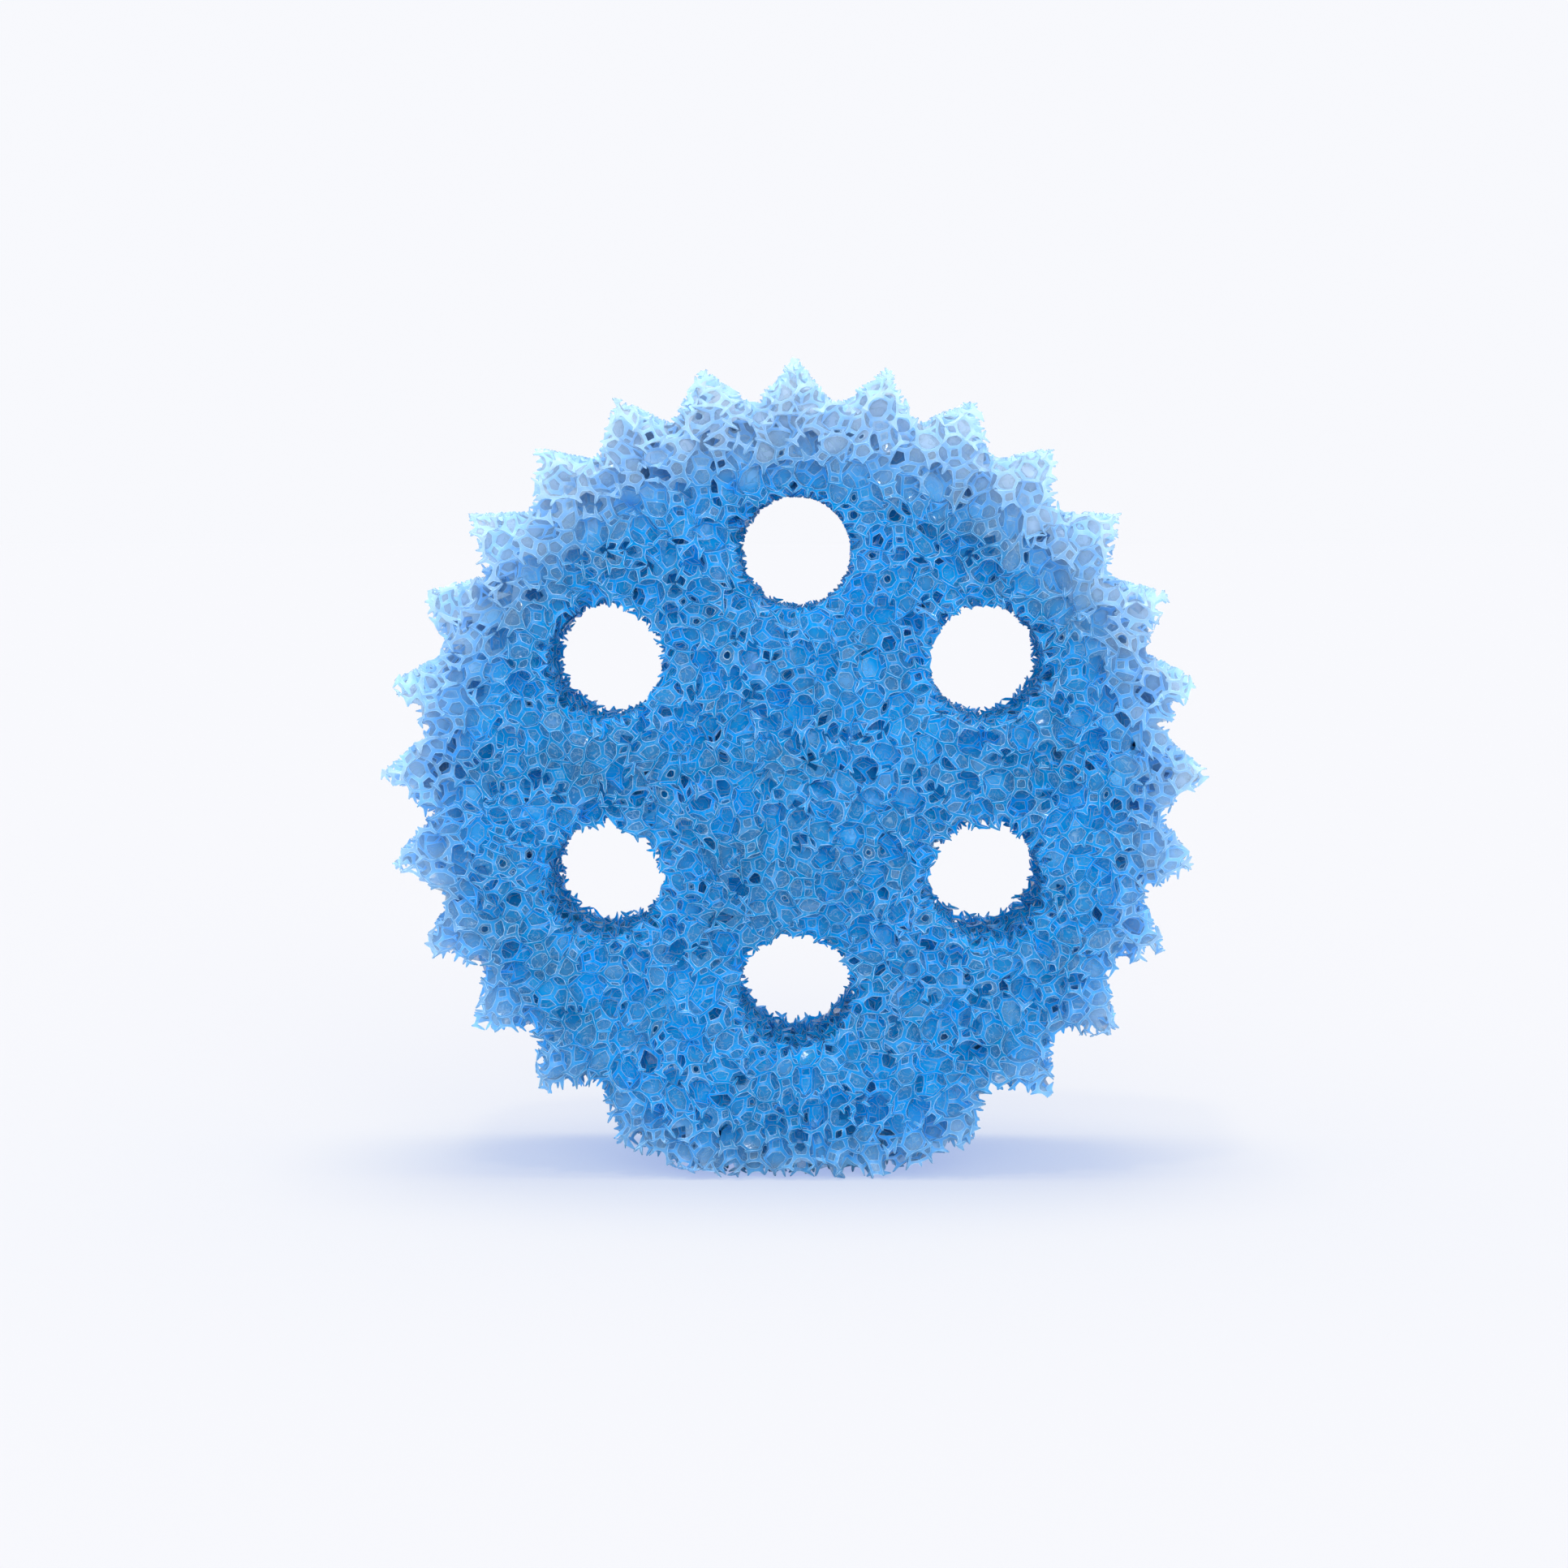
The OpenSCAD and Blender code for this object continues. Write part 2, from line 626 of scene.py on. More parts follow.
class StrandSkin:
    """The skin of all the strands and joints, with the strands that the cut ended closed off."""

    def __init__(self, foam, shape, cells):
        self.foam, self.shape, self.cells = foam, shape, cells
        self.rng = np.random.default_rng(cells.seed + 2)
        self.points, self.windows, self.ends = [], [], []
        self.faces, self.marks, self.parts = [], [], []
        self.count = 0
        self.wedge = wedge(foam.joints)
        # The number of each joint's corner in each of its windows
        self.corner = np.full(foam.windows.shape, -1)
        self.add_joints()
        self.add_whole_strands()
        self.add_cut_strands(foam.first, foam.second, foam.first_out)
        self.add_cut_strands(foam.second, foam.first, foam.second_out)

    def add_points(self, points, windows, end=False):
        """Adds rings of points and returns their numbers, in the same shape."""
        flat = points.reshape(-1, 3)
        numbers = np.arange(self.count, self.count + len(flat)).reshape(points.shape[:-1])
        self.points.append(flat)
        self.windows.append(np.broadcast_to(windows, points.shape[:-1]).ravel())
        self.ends.append(np.full(len(flat), end))
        self.count += len(flat)
        return numbers

    def add_faces(self, faces, pattern, parts, turned):
        """Adds faces of one kind, each to the mesh of its wedge."""
        faces, marks = marked_faces(faces, pattern, turned)
        self.faces.append(faces)
        self.marks.append(marks)
        self.parts.append(parts)

    def add_sides(self, low, high, parts, turned):
        """Three four-sided faces between two rings of a strand."""
        for j in range(3):
            k = (j + 1) % 3
            faces = np.column_stack([low[:, j], low[:, k], high[:, k], high[:, j]])
            self.add_faces(faces, SIDE_MARKS, parts, turned)

    def add_joints(self):
        """The joints' own faces, one beside each of the four cells."""
        foam = self.foam
        joints = np.flatnonzero(foam.shown)
        self.corner[joints] = self.add_points(foam.corners[joints], foam.windows[joints])
        for cell, trio in enumerate(CELL_WINDOWS):
            turned = ~strand_turned(foam, joints, cell)
            self.add_faces(self.corner[joints][:, trio], CORNER_MARKS, self.wedge[joints], turned)

    def add_whole_strands(self):
        """Strands between two joints: near the surface as two halves that meet at the waist."""
        foam, cells = self.foam, self.cells
        whole = whole_strands(foam, cells)
        start, end = foam.joints[whole.first], foam.joints[whole.second]
        first_ring = np.take_along_axis(self.corner[whole.first], whole.first_windows, 1)
        second_ring = np.take_along_axis(self.corner[whole.second], whole.second_windows, 1)
        parts = self.wedge[whole.first]
        turned, fine, plain = whole.turned, whole.fine, ~whole.fine
        self.add_sides(first_ring[plain], second_ring[plain], parts[plain], turned[plain])
        length = np.linalg.norm(end - start, axis=1)
        radius = cells.strand_radius * np.clip(np.median(length) / length, *STOUTNESS) ** 0.5
        radius *= self.rng.uniform(*STRAND_SPREAD, len(radius))
        windows = whole.windows[fine]
        waist = ridge_ring(foam, windows, start[fine], end[fine], WAIST, radius[fine])
        waist = self.add_points(waist, windows)
        self.add_sides(first_ring[fine], waist, parts[fine], turned[fine])
        self.add_sides(waist, second_ring[fine], parts[fine], turned[fine])

    def add_cut_strands(self, near, far, left_out):
        """Strands that run from a shown joint to one that the cut took away."""
        foam, cells = self.foam, self.cells
        cut = foam.shown[near] & ~foam.held[far]
        joint, out = near[cut], left_out[cut]
        start, end = foam.joints[joint], foam.joints[far[cut]]
        share = cut_share(start, end, self.shape)
        share *= self.rng.uniform(*CUT_SPREAD, len(share))
        end = start + (end - start) * share[:, None]
        windows = np.take_along_axis(foam.windows[joint], STRAND_WINDOWS[out], 1)
        base = np.take_along_axis(self.corner[joint], STRAND_WINDOWS[out], 1)
        turned = strand_turned(foam, joint, out)
        parts = self.wedge[joint]

        long = np.linalg.norm(end - start, axis=1) > SHORTEST_STUB * cells.joint_radius
        self.add_faces(base[~long], CUT_MARKS, parts[~long], turned[~long])
        start, end, windows, base = start[long], end[long], windows[long], base[long]
        parts, turned = parts[long], turned[long]
        radius = np.full(len(start), cells.strand_radius)
        ring = ridge_ring(foam, windows, start, end, STUB_RING, radius)
        ring = self.add_points(ring, windows)
        tip = ridge_ring(foam, windows, start, end, 1.0, TIP_SHARE * radius)
        tip = self.add_points(tip, windows, end=True)
        self.add_sides(base, ring, parts, turned)
        self.add_sides(ring, tip, parts, turned)
        self.add_faces(tip, CUT_MARKS, parts, turned)


# The films

# Where a film meets its strand's side, as a share of the strand's radius
FILM_HOLD = 0.8
# The fewest sides of a window that can hold a film
FEWEST_SIDES = 3
# The width of the hole in a partly open film, as a share of its window, and how much rounder it is
HOLE_SPREAD = (0.35, 0.75)
HOLE_ROUNDNESS = 0.6
# The slow wave of film shares: its turn in radians a cell width, and its strength
PATCH_TURN = 0.9
PATCH_STRENGTH = 0.12
# The marks here say how near the window's middle a corner lies, and how near the edge of a hole.
FAN_MARKS = np.array([(0, 0), (0, 0), (1, 0)], float)
RIM_MARKS = np.array([(0, 0), (0, 0), (1, 1), (1, 1)], float)


class Film(NamedTuple):
    """Faces of film, with their marks and the windows that they lie in."""

    faces: np.ndarray
    marks: np.ndarray
    windows: np.ndarray


def patches(points, cells):
    """A slow wave through the foam, by which films are more common in some places than in others."""
    turns = points * (PATCH_TURN / cells.cell_width) + cells.seed
    wave = np.sin(turns[:, 0]) + np.sin(turns[:, 1] + turns[:, 2]) * np.cos(turns[:, 2])
    return PATCH_STRENGTH * wave


def film_rim(foam, whole, cells):
    """The points that films hang from, the window of each, and the middle of each window."""
    count = len(foam.centres)
    radius = np.full(len(whole.first), FILM_HOLD * cells.strand_radius)
    start, end = foam.joints[whole.first], foam.joints[whole.second]
    waist = ridge_ring(foam, whole.windows, start, end, WAIST, radius)
    first_corner = foam.corners[whole.first[:, None], whole.first_windows]
    second_corner = foam.corners[whole.second[:, None], whole.second_windows]
    between = np.where(whole.fine[:, None, None], waist, (first_corner + second_corner) / 2)
    rim = np.concatenate([foam.corners.reshape(-1, 3), between.reshape(-1, 3)])
    owner = np.concatenate([foam.windows.ravel(), whole.windows.ravel()])
    sums = [np.bincount(whole.windows.ravel(), between[..., k].ravel(), count) for k in range(3)]
    sides = np.bincount(whole.windows.ravel(), minlength=count)
    return rim, owner, np.stack(sums, 1) / np.maximum(sides, 1)[:, None]


def film_edges(foam, whole):
    """The pairs of rim points along each film's edge, their windows, and which pairs run back:
    two pairs for each strand with a waist and one for the rest."""
    first_ring = whole.first[:, None] * len(WINDOWS) + whole.first_windows
    second_ring = whole.second[:, None] * len(WINDOWS) + whole.second_windows
    waists = foam.windows.size + np.arange(whole.windows.size).reshape(-1, 3)
    fine, plain = whole.fine, ~whole.fine
    lows = np.concatenate([first_ring[plain], first_ring[fine], waists[fine]])
    highs = np.concatenate([second_ring[plain], waists[fine], second_ring[fine]])
    owners = np.concatenate([whole.windows[plain], whole.windows[fine], whole.windows[fine]])
    # The middle one of a strand's three windows runs against the other two.
    back = whole.turned[:, None] ^ (False, True, False)
    back = np.concatenate([back[plain], back[fine], back[fine]])
    return lows.ravel(), highs.ravel(), owners.ravel(), back.ravel()


def film_skin(foam, cells):
    """The points of the thin films, and their faces: whole films, rims round a hole, and the
    closed windows deep in the foam."""
    rng = np.random.default_rng(cells.seed + 3)
    count = len(foam.centres)
    whole = whole_strands(foam, cells)
    draw = rng.random(count) + patches(foam.centres, cells)
    opening = rng.uniform(*HOLE_SPREAD, count)
    deep = foam.hidden_sides == 1
    closed = deep | (draw < cells.film_share)
    shown = closed | (draw < cells.film_share + cells.rim_share)
    shown &= np.bincount(whole.windows.ravel(), minlength=count) >= FEWEST_SIDES
    shown &= foam.hidden_sides < 2

    rim, owner, middle = film_rim(foam, whole, cells)
    lows, highs, owners, back = film_edges(foam, whole)
    keep = shown[owners]
    lows, highs, owners, back = lows[keep], highs[keep], owners[keep], back[keep]

    # The edge of a hole lies between its window's shape and a circle.
    away = rim - middle[owner]
    far = np.linalg.norm(away, axis=1)
    usual = np.bincount(owner, far, count) / np.maximum(np.bincount(owner, minlength=count), 1)
    reach = (1 - HOLE_ROUNDNESS) * far + HOLE_ROUNDNESS * usual[owner]
    edge = middle[owner] + unit(away) * (opening[owner] * reach)[:, None]
    points = np.concatenate([rim, edge, middle])

    fans = np.column_stack([lows, highs, owners + 2 * len(rim)])
    rims = np.column_stack([lows, highs, highs + len(rim), lows + len(rim)])
    sheets = []
    for chosen, faces, pattern in (
        (closed & ~deep, fans, FAN_MARKS),
        (~closed, rims, RIM_MARKS),
        (deep, fans, FAN_MARKS),
    ):
        mine = chosen[owners]
        sheets.append(Film(*marked_faces(faces[mine], pattern, back[mine]), owners[mine]))
    return points, sheets


# The meshes

# A face whose smooth shading leans further from its own direction than this cosine is shaded flat.
FOLD_COSINE = 0.35


def new_mesh(name, points, faces, marks, sharp=None):
    """A mesh from faces of three or four points, given as a list of arrays."""
    used, numbers = np.unique(np.concatenate([f.ravel() for f in faces]), return_inverse=True)
    sizes = np.concatenate([np.full(len(f), f.shape[1]) for f in faces])
    mesh = bpy.data.meshes.new(name)
    mesh.vertices.add(len(used))
    mesh.vertices.foreach_set("co", points[used].astype(np.float32).ravel())
    mesh.loops.add(len(numbers))
    mesh.loops.foreach_set("vertex_index", numbers.ravel().astype(np.int32))
    mesh.polygons.add(len(sizes))
    mesh.polygons.foreach_set("loop_start", (np.cumsum(sizes) - sizes).astype(np.int32))
    marks = np.concatenate([m.reshape(-1) for m in marks]).astype(np.float32)
    mesh.uv_layers.new(name=MARK_MAP).uv.foreach_set("vector", marks)
    mesh.update(calc_edges=True)
    mesh.shade_smooth()
    if sharp is not None:
        pairs = np.empty(2 * len(mesh.edges), np.int32)
        mesh.edges.foreach_get("vertices", pairs)
        edge_marks = mesh.attributes.new("sharp_edge", "BOOLEAN", "EDGE")
        edge_marks.data.foreach_set("value", sharp(used[pairs.reshape(-1, 2)]))
    mesh.validate()
    flatten_folds(mesh)
    return mesh


def flatten_folds(mesh):
    """Shades flat the few faces that smooth shading would turn away from the light."""
    corners = np.empty((len(mesh.loops), 3), np.float32)
    mesh.corner_normals.foreach_get("vector", corners.ravel())
    normals = np.empty((len(mesh.polygons), 3), np.float32)
    mesh.polygons.foreach_get("normal", normals.ravel())
    sizes = np.empty(len(mesh.polygons), np.int32)
    mesh.polygons.foreach_get("loop_total", sizes)
    owner = np.repeat(np.arange(len(sizes)), sizes)
    folded = np.zeros(len(sizes), bool)
    folded[owner[(corners * normals[owner]).sum(1) < FOLD_COSINE]] = True
    flat = mesh.attributes.get("sharp_face")
    flat = flat or mesh.attributes.new("sharp_face", "BOOLEAN", "FACE")
    flat.data.foreach_set("value", folded)


def foam_piece(name, mesh, material):
    """Shows a mesh as a piece of the foam body."""
    piece = bpy.data.objects.new(name, mesh)
    bpy.context.scene.collection.objects.link(piece)
    mesh.materials.append(material)
    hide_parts(NODE)
    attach(piece, BODY)
    return piece


# Shader nodes


def feed(tree, socket, value):
    """Gives a node's input the output of another node, or a plain value."""
    if isinstance(value, bpy.types.NodeSocket):
        tree.links.new(value, socket)
    else:
        socket.default_value = value


def new_node(tree, kind, inputs):
    """A node with these inputs, by name."""
    node = tree.nodes.new(kind)
    for name, value in inputs.items():
        feed(tree, node.inputs[name], value)
    return node


def maths(tree, operation, first, second=0.0):
    """The result of a sum on two numbers or sockets."""
    node = tree.nodes.new("ShaderNodeMath")
    node.operation = operation
    feed(tree, node.inputs[0], first)
    feed(tree, node.inputs[1], second)
    return node.outputs[0]


def vector_maths(tree, operation, first, second=(0.0, 0.0, 0.0), result="Vector"):
    """The result of a sum on two vectors or sockets."""
    node = tree.nodes.new("ShaderNodeVectorMath")
    node.operation = operation
    feed(tree, node.inputs[0], first)
    feed(tree, node.inputs[1], second)
    return node.outputs[result]


def separate(tree, vector):
    """A vector's numbers, as X, Y and Z."""
    return new_node(tree, "ShaderNodeSeparateXYZ", {"Vector": vector}).outputs


def rising(tree, value, start, end, low=0.0, high=1.0, interpolation="SMOOTHSTEP"):
    """A number that goes from low to high while the value goes from start to end."""
    inputs = {"Value": value, "From Min": start, "From Max": end, "To Min": low, "To Max": high}
    ramp = new_node(tree, "ShaderNodeMapRange", inputs)
    ramp.interpolation_type = interpolation
    return ramp.outputs["Result"]


def mixed_colour(tree, factor, low, high):
    """A mix of two colours, or sockets, by a socket."""
    mix = tree.nodes.new("ShaderNodeMix")
    mix.data_type = "RGBA"
    tree.links.new(factor, mix.inputs["Factor"])
    for name, value in (("A", low), ("B", high)):
        plain = not isinstance(value, bpy.types.NodeSocket)
        feed(tree, mix.inputs[name], (*value, 1.0) if plain else value)
    return mix.outputs["Result"]


def face_marks(tree):
    """The two numbers that each face carries from corner to corner."""
    marks = tree.nodes.new("ShaderNodeUVMap")
    marks.uv_map = MARK_MAP
    split = separate(tree, marks.outputs["UV"])
    return split["X"], split["Y"]


# The effects that the foam's finishes share


def new_group(name, inputs, outputs):
    """A shader node group with number sockets, what comes into it and what goes out of it."""
    group = bpy.data.node_groups.new(name, "ShaderNodeTree")
    for socket, value in inputs.items():
        made = group.interface.new_socket(socket, in_out="INPUT", socket_type="NodeSocketFloat")
        made.default_value = value
    for socket in outputs:
        group.interface.new_socket(socket, in_out="OUTPUT", socket_type="NodeSocketFloat")
    start, end = group.nodes.new("NodeGroupInput"), group.nodes.new("NodeGroupOutput")
    return group, start.outputs, end.inputs


def object_place(group):
    """The place on the sponge, in metres."""
    return group.nodes.new("ShaderNodeTexCoord").outputs["Object"]


def noise(group, place, scale, bend):
    """Soft unevenness, from 0 to 1."""
    inputs = {"Vector": place, "Scale": scale, "Detail": 2.0, "Distortion": bend}
    return new_node(group, "ShaderNodeTexNoise", inputs).outputs["Fac"]


def mottle_group(name):
    """Slow unevenness of the foam's colour, and the fine wrinkles of its skin."""
    values = {"Slow scale": 90.0, "Wrinkle scale": 850.0, "Wrinkle width": 0.045}
    group, inputs, outputs = new_group(name, values, ("Mask", "Wrinkles"))
    place = object_place(group)
    slow = noise(group, place, inputs["Slow scale"], bend=0.0)
    group.links.new(slow, outputs["Mask"])
    # A wrinkle runs where the quick unevenness passes its mean.
    quick = noise(group, place, inputs["Wrinkle scale"], bend=1.2)
    aside = maths(group, "ABSOLUTE", maths(group, "SUBTRACT", quick, 0.5))
    share = maths(group, "DIVIDE", aside, inputs["Wrinkle width"])
    group.links.new(rising(group, share, 0.0, 1.0, low=1.0, high=0.0), outputs["Wrinkles"])
    return group


def painted_rim_light_group(name):
    """A mask for painted light that rises from the thick middle of the disc to its thin teeth, soonest
    at the top, standing for light that comes through the teeth and from above.
    """
    values = {"Start": 0.74, "End": 1.06, "Overhead light lean": 0.12, "Strength": 0.6}
    group, inputs, outputs = new_group(name, values, ("Mask",))
    from_middle = vector_maths(group, "SUBTRACT", object_place(group), (0.0, 0.0, CENTRE_HEIGHT))
    flat = vector_maths(group, "MULTIPLY", from_middle, (1 / RADIUS, 0.0, 1 / RADIUS))
    away = vector_maths(group, "LENGTH", flat, result="Value")
    lean = maths(group, "MULTIPLY", separate(group, flat)["Z"], inputs["Overhead light lean"])
    reach = maths(group, "ADD", away, lean)
    mask = rising(group, reach, inputs["Start"], inputs["End"], high=inputs["Strength"])
    group.links.new(mask, outputs["Mask"])
    return group


def painted_depth_light_group(name):
    """A mask for painted light that rises with the depth below the flat faces, where light comes
    through the foam.
    """
    values = {"Start": 0.0012, "Full depth": 0.0032}
    group, inputs, outputs = new_group(name, values, ("Mask",))
    from_middle = maths(group, "ABSOLUTE", separate(group, object_place(group))["Y"])
    depth = maths(group, "SUBTRACT", THICKNESS / 2, from_middle)
    mask = rising(group, depth, inputs["Start"], inputs["Full depth"], interpolation="LINEAR")
    group.links.new(mask, outputs["Mask"])
    return group


EFFECTS = {
    "Foam mottle": mottle_group,
    "Painted rim light": painted_rim_light_group,
    "Painted light below the faces": painted_depth_light_group,
}


def effect(tree, name, **inputs):
    """What a shared effect gives. Its group is built when it is first asked for."""
    node = tree.nodes.new("ShaderNodeGroup")
    node.node_tree = bpy.data.node_groups.get(name) or EFFECTS[name](name)
    for socket, value in inputs.items():
        feed(tree, node.inputs[socket], value)
    return node.outputs


# The finishes

# The darker places' share of the foam's colour, and the band of slow unevenness between the two
DARKER_SHARE = 0.72
MOTTLE_BAND = (0.35, 0.65)
WRINKLE_HEIGHT = 0.0001
# How the foam bends light, and how light spreads inside it
FOAM_BODY = {
    "IOR": 1.4,
    "Subsurface Weight": 0.7,
    "Subsurface Radius": (0.8, 0.9, 1.0),
    "Subsurface Scale": 0.002,
}


def plain_material(name):
    """A material with nothing but its shader."""
    material = bpy.data.materials.new(name)
    material.use_nodes = True
    nodes = material.node_tree.nodes
    nodes.clear()
    shader = nodes.new("ShaderNodeBsdfPrincipled")
    output = nodes.new("ShaderNodeOutputMaterial")
    material.node_tree.links.new(shader.outputs["BSDF"], output.inputs["Surface"])
    return material, shader


def foam_material(name, base, colours, roughness, relief, painted_rim_light_share, painted_glint_share):
    """A foam finish: mottled, with painted light that makes it paler at the rim and top and lifts it
    below the faces, finely wrinkled, with painted glints along the wrinkles. Gives its colour for more
    mixing.
    """
    material, shader = plain_material(name)
    tree = material.node_tree
    mottle = effect(tree, "Foam mottle")
    darker = [DARKER_SHARE * c for c in base]
    colour = mixed_colour(tree, rising(tree, mottle["Mask"], *MOTTLE_BAND), darker, base)
    # Painted light: below the flat faces the colour leans to the depths' colour, standing for light
    # that comes through the foam.
    depth = effect(tree, "Painted light below the faces")
    colour = mixed_colour(tree, depth["Mask"], colour, colours.deep)
    # Painted light: near the rim, and soonest at the top, the colour leans to the pale rim colour.
    rim = effect(tree, "Painted rim light", Strength=painted_rim_light_share)
    colour = mixed_colour(tree, rim["Mask"], colour, colours.thin)
    # Painted glints: along the wrinkles the colour leans to the pale ridge highlight.
    painted_wrinkle_glint = maths(tree, "MULTIPLY", mottle["Wrinkles"], painted_glint_share)
    colour = mixed_colour(tree, painted_wrinkle_glint, colour, colours.ridge_highlight)
    wrinkles = {"Strength": relief, "Distance": WRINKLE_HEIGHT, "Height": mottle["Wrinkles"]}
    bump = new_node(tree, "ShaderNodeBump", wrinkles)
    shader.subsurface_method = "BURLEY"
    settings = {"Normal": bump.outputs["Normal"], "Roughness": roughness, **FOAM_BODY}
    for socket, value in settings.items():
        feed(tree, shader.inputs[socket], value)
    return material, shader, colour


def strand_material(colours):
    """Glossy blue foam, with a painted highlight along the thin ridges round each window."""
    material, shader, colour = foam_material(
        "foam_strands", colours.strand, colours, roughness=0.14, relief=0.3, painted_rim_light_share=0.7, painted_glint_share=0.12
    )
    tree = material.node_tree
    first, second = face_marks(tree)
    third = maths(tree, "SUBTRACT", maths(tree, "SUBTRACT", 1.0, first), second)
    nearest = maths(tree, "MAXIMUM", maths(tree, "MAXIMUM", first, second), third)
    # A painted highlight along the ridges.
    ridge_highlight = rising(tree, nearest, start=0.82, end=1.0)
    colour = mixed_colour(tree, ridge_highlight, colour, colours.ridge_highlight)
    tree.links.new(colour, shader.inputs["Base Color"])
    return material


def film_material(colours):
    """Thin see-through film, thicker along the edge of a hole, with a painted highlight there."""
    material, shader, colour = foam_material(
        "foam_films", colours.film, colours, roughness=0.1, relief=0.8, painted_rim_light_share=1.0, painted_glint_share=0.4
    )
    tree = material.node_tree
    _, hole = face_marks(tree)
    # A painted highlight along the edge of a hole.
    colour = mixed_colour(tree, rising(tree, hole, start=0.75, end=0.95), colour, colours.ridge_highlight)
    tree.links.new(colour, shader.inputs["Base Color"])
    cover = rising(tree, hole, start=0.7, end=0.95, low=0.74, high=0.92)
    tree.links.new(cover, shader.inputs["Alpha"])
    return material


def depth_material(colours):
    """The closed windows deep in the foam, a little duller towards the middle of each."""
    material, shader, colour = foam_material(
        "foam_depths", colours.deep, colours, roughness=0.2, relief=0.6, painted_rim_light_share=1.0, painted_glint_share=0.3
    )
    tree = material.node_tree
    middle, _ = face_marks(tree)
    duller = rising(tree, middle, start=0.1, end=0.7, high=0.35)
    colour = mixed_colour(tree, duller, colour, colours.film)
    tree.links.new(colour, shader.inputs["Base Color"])
    return material


# The stage

FLOOR_REACH = 12.0
SENSOR_WIDTH = 36.0
# The camera's place and its aim: to the right of the disc's centre and above it, in metres
CAMERA_SHIFT = (0.0062, 0.0321)
AIM_SHIFT = (-0.0013, -0.0011)


def seen_or_not(tree, unseen, seen):
    """One colour for what is lit, and another for the camera."""
    sight = tree.nodes.new("ShaderNodeLightPath")
    return mixed_colour(tree, sight.outputs["Is Camera Ray"], unseen, seen)


def pale_floor(look):
    """One big sheet that the camera sees as pale as the backdrop, with the sponge's shadow on it."""
    sides = ((-1, -1), (1, -1), (1, 1), (-1, 1))
    mesh = bpy.data.meshes.new("floor")
    mesh.from_pydata([(x * FLOOR_REACH, y * FLOOR_REACH, 0) for x, y in sides], [], [(0, 1, 2, 3)])
    floor = bpy.data.objects.new("floor", mesh)
    bpy.context.scene.collection.objects.link(floor)
    material, shader = plain_material("pale_floor")
    tree = material.node_tree
    settings = {
        "Base Color": seen_or_not(tree, look.floor_colour, look.seen_floor),
        "Emission Color": seen_or_not(tree, (0.0, 0.0, 0.0), look.floor_glow),
        "Emission Strength": 1.0,
        "Roughness": 1.0,
        "Specular IOR Level": 0.0,
    }
    for socket, value in settings.items():
        feed(tree, shader.inputs[socket], value)
    mesh.materials.append(material)


def soft_lamps(scene, look):
    """An even pale room, with a broad lamp overhead, a broad one in front and a small one."""
    scene.world = bpy.data.worlds.new("pale_room")
    scene.world.use_nodes = True
    tree = scene.world.node_tree
    back = tree.nodes["Background"]
    feed(tree, back.inputs["Color"], seen_or_not(tree, look.room_colour, look.backdrop_colour))
    back.inputs["Strength"].default_value = 1.0
    add_sun("overhead_box", look.overhead, tilt=-6, turn=0, spread=36)
    add_sun("front_box", look.front, tilt=78, turn=6, spread=50)
    add_sun("small_box", look.key, tilt=24, turn=-20, spread=6)


def add_sun(name, strength, tilt, turn, spread):
    """A far lamp, tilted from overhead to the front, then turned to the right, in degrees."""
    lamp = bpy.data.lights.new(name, "SUN")
    lamp.energy = strength
    lamp.angle = math.radians(spread)
    holder = bpy.data.objects.new(name, lamp)
    holder.rotation_euler = Euler((math.radians(tilt), 0, math.radians(turn)))
    bpy.context.scene.collection.objects.link(holder)


def photo_camera(scene, look):
    """A camera nearly level with the disc, a little above its centre and a little to the right."""
    camera = bpy.data.cameras.new("photo_camera")
    camera.sensor_width = SENSOR_WIDTH
    camera.lens = look.lens
    holder = bpy.data.objects.new("photo_camera", camera)
    right, up = CAMERA_SHIFT
    holder.location = (right, LOW[1] - look.camera_distance, CENTRE_HEIGHT + up)
    right, up = AIM_SHIFT
    aim = Vector((right, LOW[1], CENTRE_HEIGHT + up)) - holder.location
    holder.rotation_euler = aim.to_track_quat("-Z", "Y").to_euler()
    scene.collection.objects.link(holder)
    scene.camera = holder


# The build steps


def own_names(group):
    """The names of a property group's own values."""
    return [name for name in group.bl_rna.properties.keys() if name not in ("rna_type", "name")]


def fixed_values(group):
    """A property group's values as they are now, which the grown foam is kept by."""
    names = own_names(group)
    return namedtuple(type(group).__name__, names)(*(getattr(group, name) for name in names))


class SPONGE_OT_build_strands(bpy.types.Operator):
    """Grow the foam's strands and joints inside the cut-out"""

    bl_idname = "sponge.build_strands"
    bl_label = "Build Foam Strands"
    bl_options = {"REGISTER", "UNDO"}

    def execute(self, context):
        shape = fixed_values(context.scene.sponge_shape)
        cells = fixed_values(context.scene.foam_cells)
        skin = StrandSkin(grown_foam(shape, cells), shape, cells)
        points = np.concatenate(skin.points)
        windows = np.concatenate(skin.windows)
        ends = np.concatenate(skin.ends)

        def sharp(pairs):
            """The edges along a strand's ridges, and those round its cut tip."""
            ridge_highlight = windows[pairs[:, 0]] == windows[pairs[:, 1]]
            return ridge_highlight | (ends[pairs[:, 0]] & ends[pairs[:, 1]])

        material = strand_material(context.scene.foam_colours)
        for part in range(WEDGES):
            name = f"foam_strands_{part + 1}"
            mine = [parts == part for parts in skin.parts]
            faces = [f[m] for f, m in zip(skin.faces, mine)]
            marks = [u[m] for u, m in zip(skin.marks, mine)]
            foam_piece(name, new_mesh(name, points, faces, marks, sharp), material)
        return {"FINISHED"}


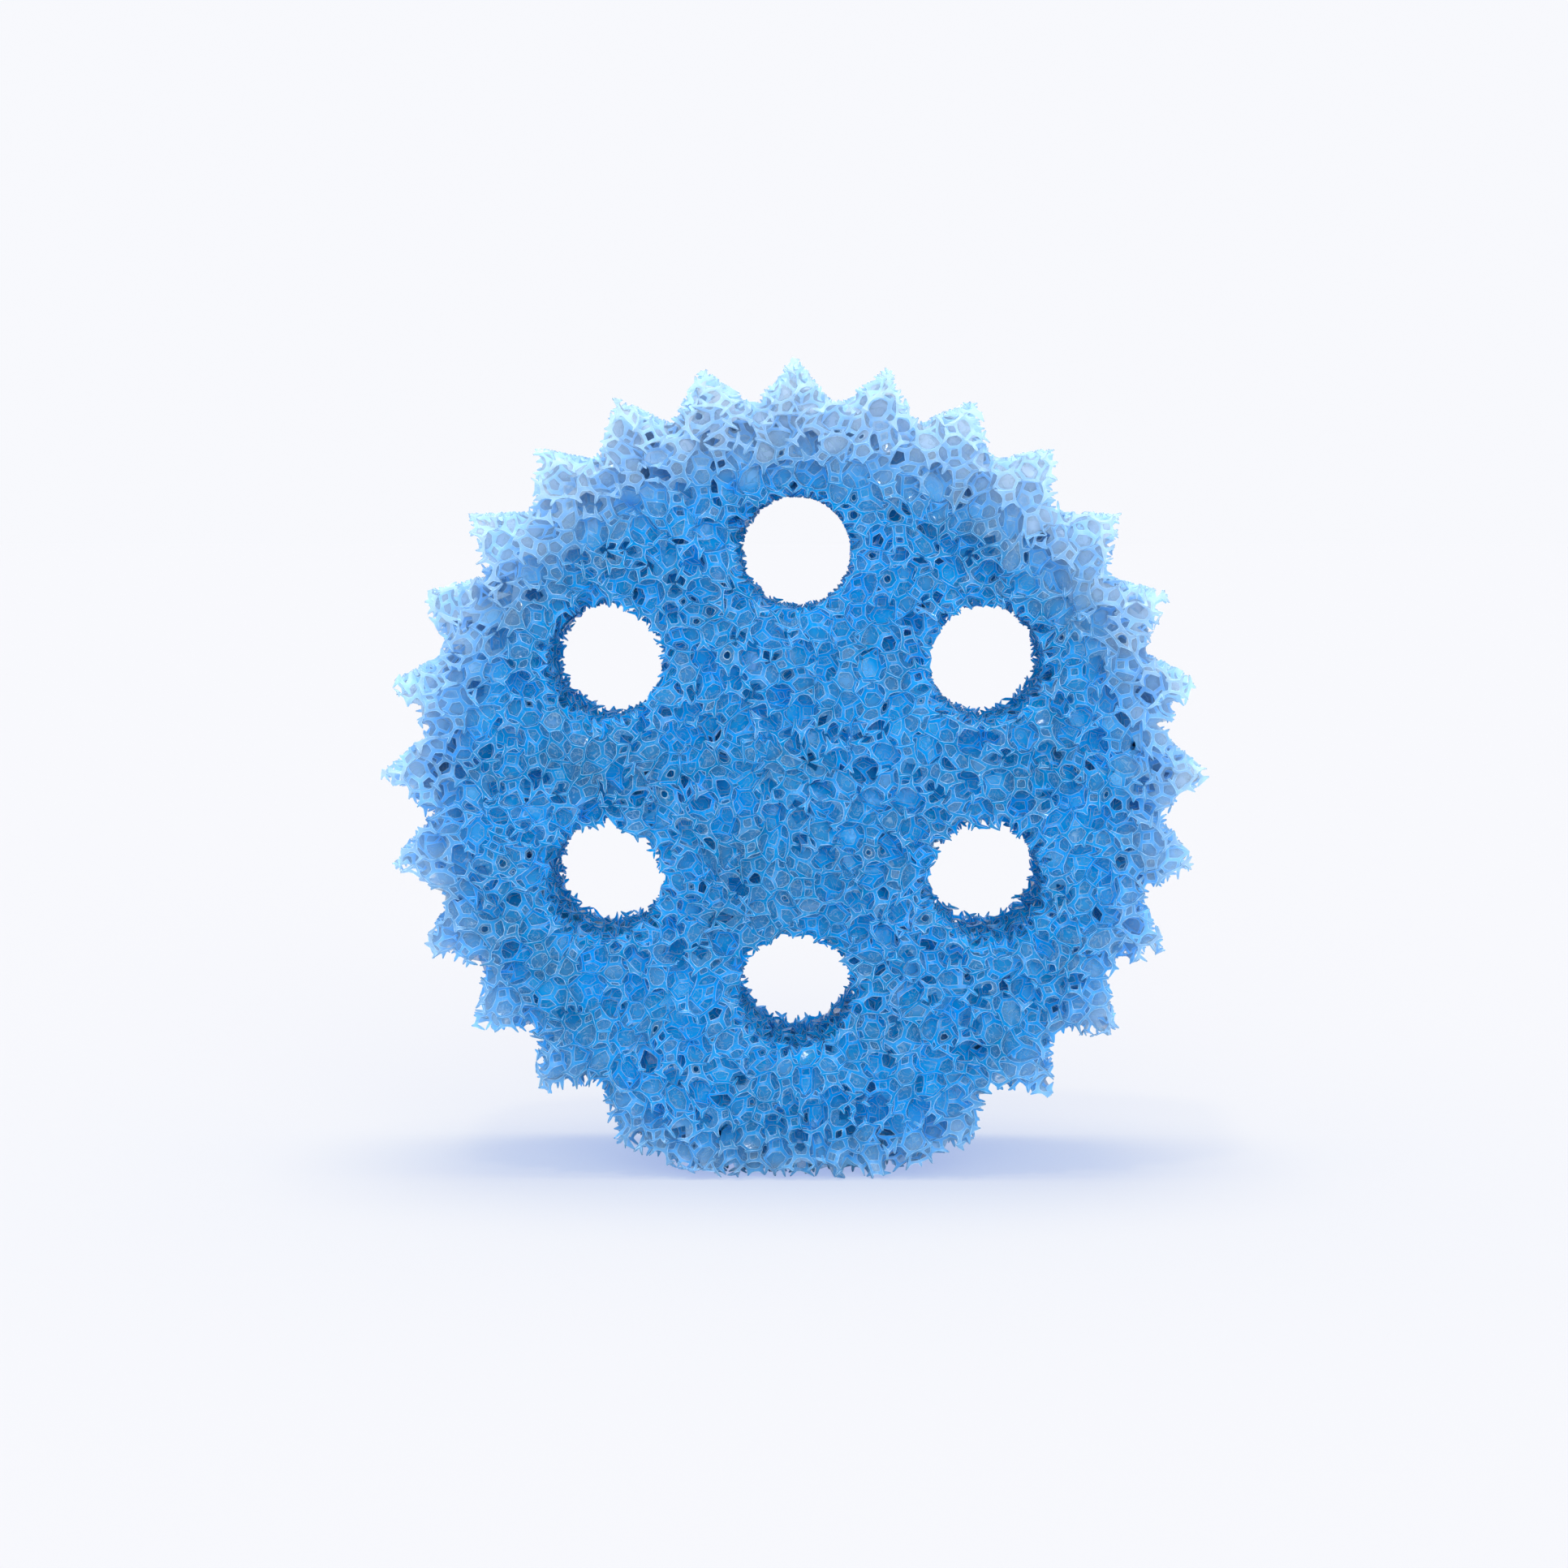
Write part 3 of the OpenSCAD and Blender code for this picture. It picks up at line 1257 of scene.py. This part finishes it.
class SPONGE_OT_build_films(bpy.types.Operator):
    """Stretch thin films across the windows that stayed closed"""

    bl_idname = "sponge.build_films"
    bl_label = "Build Foam Films"
    bl_options = {"REGISTER", "UNDO"}

    def execute(self, context):
        shape = fixed_values(context.scene.sponge_shape)
        cells = fixed_values(context.scene.foam_cells)
        colours = context.scene.foam_colours
        foam = grown_foam(shape, cells)
        points, (whole, rims, deep) = film_skin(foam, cells)
        material = film_material(colours)
        right = foam.centres[:, 0] > 0
        for name, side in (("foam_films_left", ~right), ("foam_films_right", right)):
            faces = [film.faces[side[film.windows]] for film in (whole, rims)]
            marks = [film.marks[side[film.windows]] for film in (whole, rims)]
            foam_piece(name, new_mesh(name, points, faces, marks), material)
        mesh = new_mesh("foam_depths", points, [deep.faces], [deep.marks])
        foam_piece("foam_depths", mesh, depth_material(colours))
        return {"FINISHED"}


class SPONGE_OT_build_stage(bpy.types.Operator):
    """Set out the pale floor, the soft lamps and the camera"""

    bl_idname = "sponge.build_stage"
    bl_label = "Build Stage"
    bl_options = {"REGISTER", "UNDO"}

    def execute(self, context):
        look = context.scene.stage_look
        pale_floor(look)
        soft_lamps(context.scene, look)
        photo_camera(context.scene, look)
        context.scene.view_settings.view_transform = "Standard"
        return {"FINISHED"}


class SPONGE_PT_panel(bpy.types.Panel):
    """The sponge's sizes, colours and build steps"""

    bl_label = "Open Cell Foam Sponge"
    bl_idname = "SPONGE_PT_panel"
    bl_space_type = "VIEW_3D"
    bl_region_type = "UI"
    bl_category = "Sponge"

    def draw(self, context):
        for title, name in (
            ("Shape", "sponge_shape"),
            ("Cells", "foam_cells"),
            ("Colours", "foam_colours"),
            ("Stage", "stage_look"),
        ):
            group = getattr(context.scene, name)
            box = self.layout.box()
            box.label(text=title)
            for value in own_names(group):
                box.prop(group, value)
        for operator in OPERATORS:
            self.layout.operator(operator.bl_idname)


GROUPS = {
    "sponge_shape": SpongeShape,
    "foam_cells": FoamCells,
    "foam_colours": FoamColours,
    "stage_look": StageLook,
}
OPERATORS = (SPONGE_OT_build_strands, SPONGE_OT_build_films, SPONGE_OT_build_stage)
CLASSES = (*GROUPS.values(), *OPERATORS, SPONGE_PT_panel)


def register():
    for cls in CLASSES:
        bpy.utils.register_class(cls)
    for name, group in GROUPS.items():
        setattr(bpy.types.Scene, name, PointerProperty(type=group))


def unregister():
    for name in GROUPS:
        delattr(bpy.types.Scene, name)
    for cls in reversed(CLASSES):
        bpy.utils.unregister_class(cls)


def main():
    register()
    bpy.ops.sponge.build_stage()
    bpy.ops.sponge.build_strands()
    bpy.ops.sponge.build_films()


if __name__ == "__main__":
    main()
